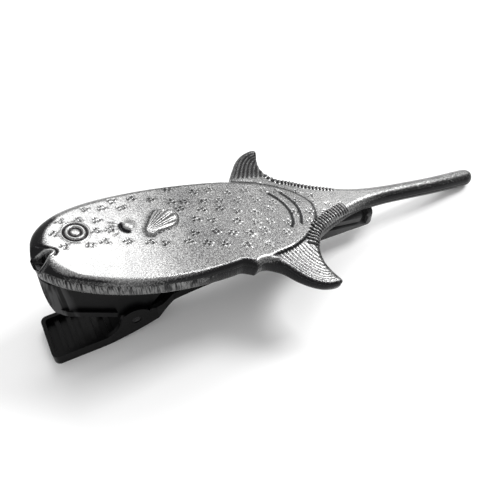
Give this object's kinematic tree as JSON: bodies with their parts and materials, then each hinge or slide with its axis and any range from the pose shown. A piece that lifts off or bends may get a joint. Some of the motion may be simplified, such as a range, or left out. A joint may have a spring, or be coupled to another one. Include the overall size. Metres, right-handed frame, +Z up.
{
  "type": "fish ornament spring clip",
  "caption": "Cast-metal ocean sunfish with a rod tail on a black sprung clip: pinching the ribbed levers under the head opens the long jaw under the tail root.",
  "frame": {"origin": "middle of the footprint, on the surface that the clip's tray and the tail tip stand on", "axes": "+X from the fish's mouth towards its tail, +Z up, +Y towards the dorsal fin"},
  "size_m": [0.102, 0.0384, 0.0276],
  "materials": {
    "cast_metal": "sand-cast grey metal, antiqued dark in the recesses and along the edges",
    "black_plastic": "satin black moulded plastic",
    "pin_steel": "dull plated steel",
    "spring_steel": "bare spring wire"
  },
  "bodies": {
    "fish_side": {"fish_plate": "cast_metal", "upper_lever": "black_plastic", "pivot_pin": "pin_steel", "torsion_spring": "spring_steel", "fixing_screw_front": "pin_steel", "fixing_screw_rear": "pin_steel"},
    "jaw_side": {"lower_lever": "black_plastic"}
  },
  "joints": [
    {"name": "clip_pivot", "type": "hinge", "parent": "fish_side", "child": "jaw_side", "pos_m": [-0.03358, 0, 0.005], "axis": [0, 1, 0], "range_deg": [0, 32], "stiffness_Nm_per_rad": 0.1, "springref_deg": -45.84, "deforming": ["torsion_spring"]}
  ]
}
